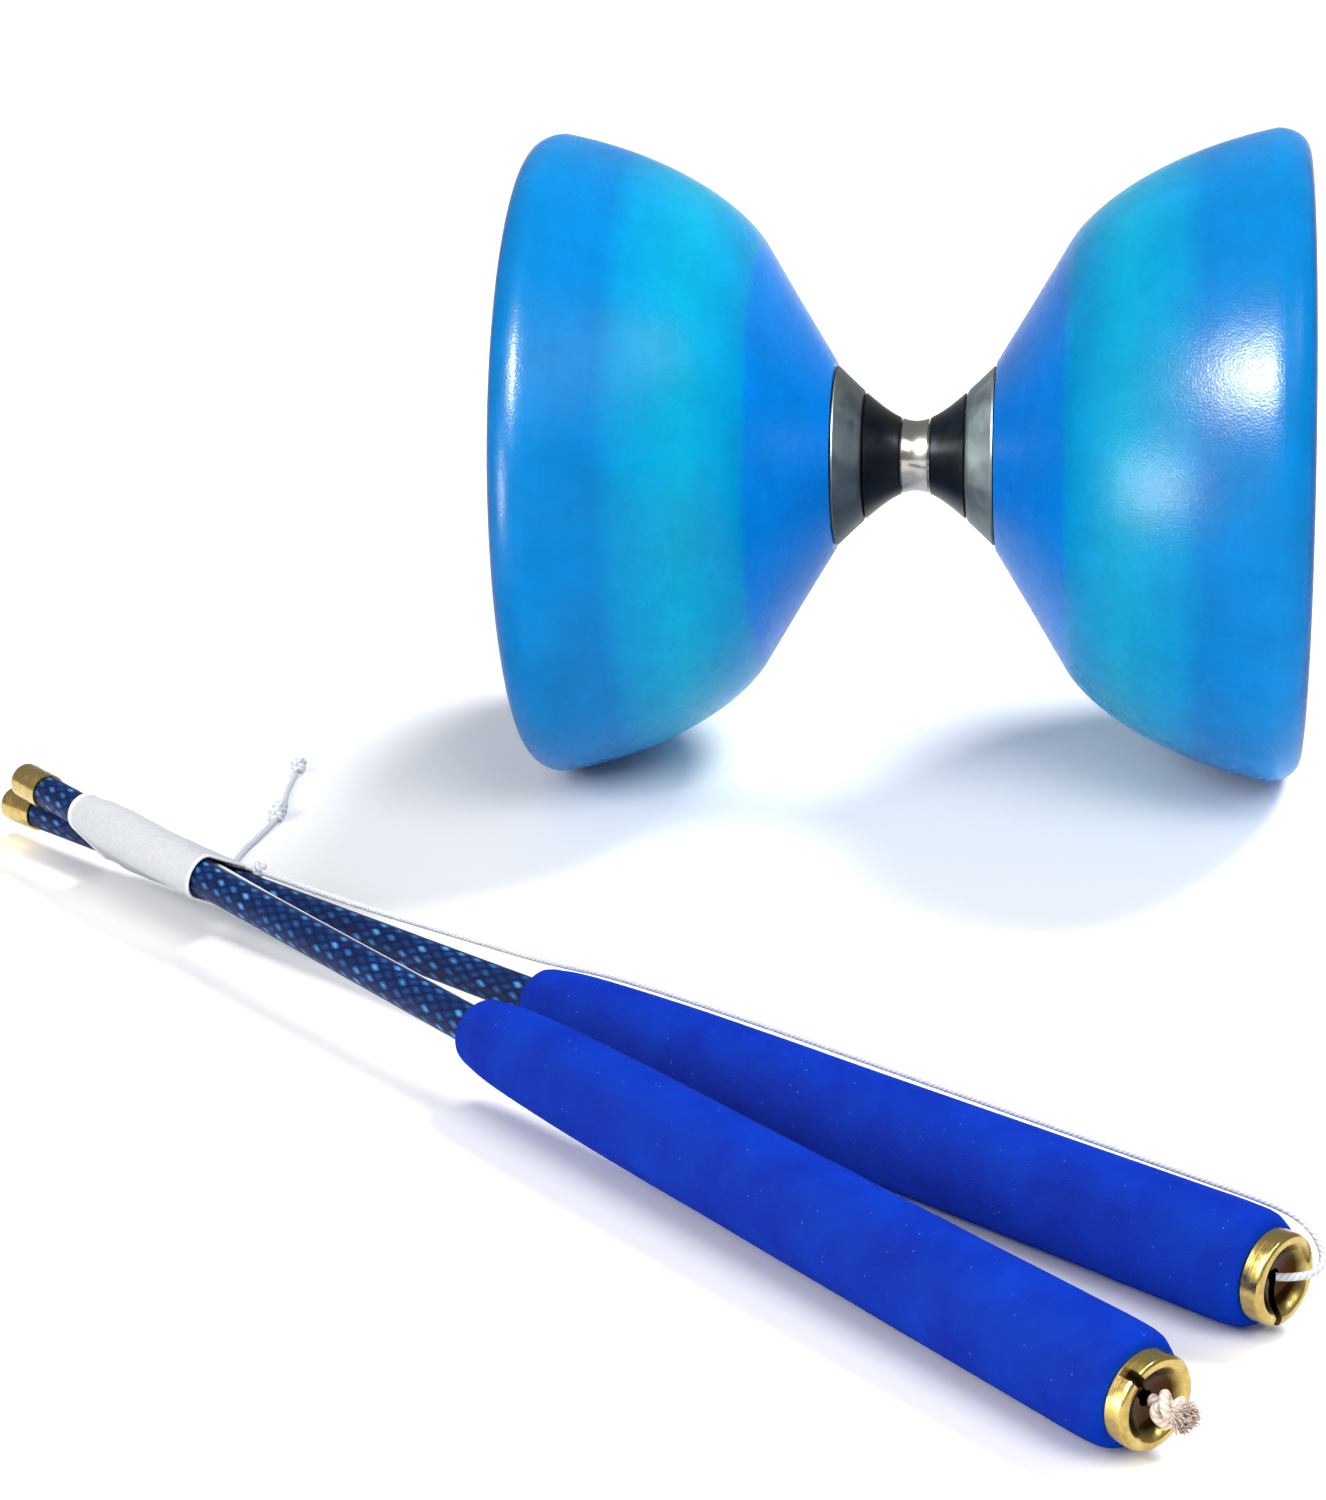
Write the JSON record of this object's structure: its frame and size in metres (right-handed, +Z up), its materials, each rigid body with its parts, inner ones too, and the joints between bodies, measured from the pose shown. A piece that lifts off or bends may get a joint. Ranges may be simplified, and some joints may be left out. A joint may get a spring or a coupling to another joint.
{
  "type": "diabolo",
  "caption": "Bearing diabolo with flared cups on a steel barrel that spins on its axle, lying beside its foam-gripped hand sticks, which are joined by a string",
  "frame": {"origin": "middle of the footprint of the spool and the sticks, on the floor that they lie on", "axes": "+X along the spool's axis, +Y from the sticks to the spool, +Z up"},
  "size_m": [0.2614, 0.351, 0.1316],
  "materials": {
    "cup_plastic": "translucent blue flexible plastic, satin, with fine moulding marks",
    "hub_aluminium": "grey anodised, satin, turned",
    "cone_aluminium": "black anodised, satin, turned",
    "polished_steel": "polished steel",
    "bearing_steel": "ground bearing steel",
    "plated_steel": "zinc-plated steel",
    "brass": "polished brass",
    "braided_tube": "woven fibre in clear resin, dark and light blue",
    "grip_foam": "fine closed-cell foam, matte royal blue",
    "band_paper": "soft off-white paper",
    "string_fibre": "off-white twisted string"
  },
  "bodies": {
    "spool": {"left_cup": "cup_plastic", "right_cup": "cup_plastic", "left_hub_ring": "hub_aluminium", "right_hub_ring": "hub_aluminium", "left_cone_washer": "cone_aluminium", "right_cone_washer": "cone_aluminium", "left_cup_washer": "plated_steel", "right_cup_washer": "plated_steel", "left_lock_nut": "plated_steel", "right_lock_nut": "plated_steel", "left_bearing_inner_ring": "bearing_steel", "right_bearing_inner_ring": "bearing_steel", "axle_rod": "plated_steel", "axle_spacer": "bearing_steel"},
    "barrel": {"barrel_sleeve": "polished_steel", "left_bearing_outer_ring": "bearing_steel", "right_bearing_outer_ring": "bearing_steel", "clutch_shell": "bearing_steel", "clutch_rollers": "bearing_steel"},
    "left_balls": {"left_bearing_ball_set": "bearing_steel"},
    "right_balls": {"right_bearing_ball_set": "bearing_steel"},
    "hand_sticks": {"front_tip_ferrule": "brass", "front_tube": "braided_tube", "front_grip": "grip_foam", "front_end_cap": "brass", "rear_tip_ferrule": "brass", "rear_tube": "braided_tube", "rear_grip": "grip_foam", "rear_end_cap": "brass", "paper_band": "band_paper", "string_winding": "string_fibre", "string_front_run": "string_fibre", "string_rear_run": "string_fibre", "string_tail": "string_fibre", "string_tail_end": "string_fibre", "string_hitch_knot": "string_fibre", "tail_double_knot": "string_fibre", "tail_end_knot": "string_fibre", "cap_knot": "string_fibre"}
  },
  "joints": [
    {"name": "barrel_spin", "type": "hinge", "parent": "spool", "child": "barrel", "pos_m": [0.05249, 0.10901, 0.06587], "axis": [1, 0, 0], "continuous": true},
    {"name": "left_balls_spin", "type": "hinge", "parent": "spool", "child": "left_balls", "pos_m": [0.04769, 0.10901, 0.06587], "axis": [1, 0, 0], "continuous": true},
    {"name": "right_balls_spin", "type": "hinge", "parent": "spool", "child": "right_balls", "pos_m": [0.05729, 0.10901, 0.06587], "axis": [1, 0, 0], "continuous": true},
    {"name": "sticks_lift", "type": "slide", "parent": "spool", "child": "hand_sticks", "axis": [0, 0, 1], "range_m": [0, 0.15]}
  ],
  "couplings": [
    {"joint": "left_balls_spin", "follows": "barrel_spin", "ratio": 0.5802},
    {"joint": "right_balls_spin", "follows": "barrel_spin", "ratio": 0.5802}
  ]
}
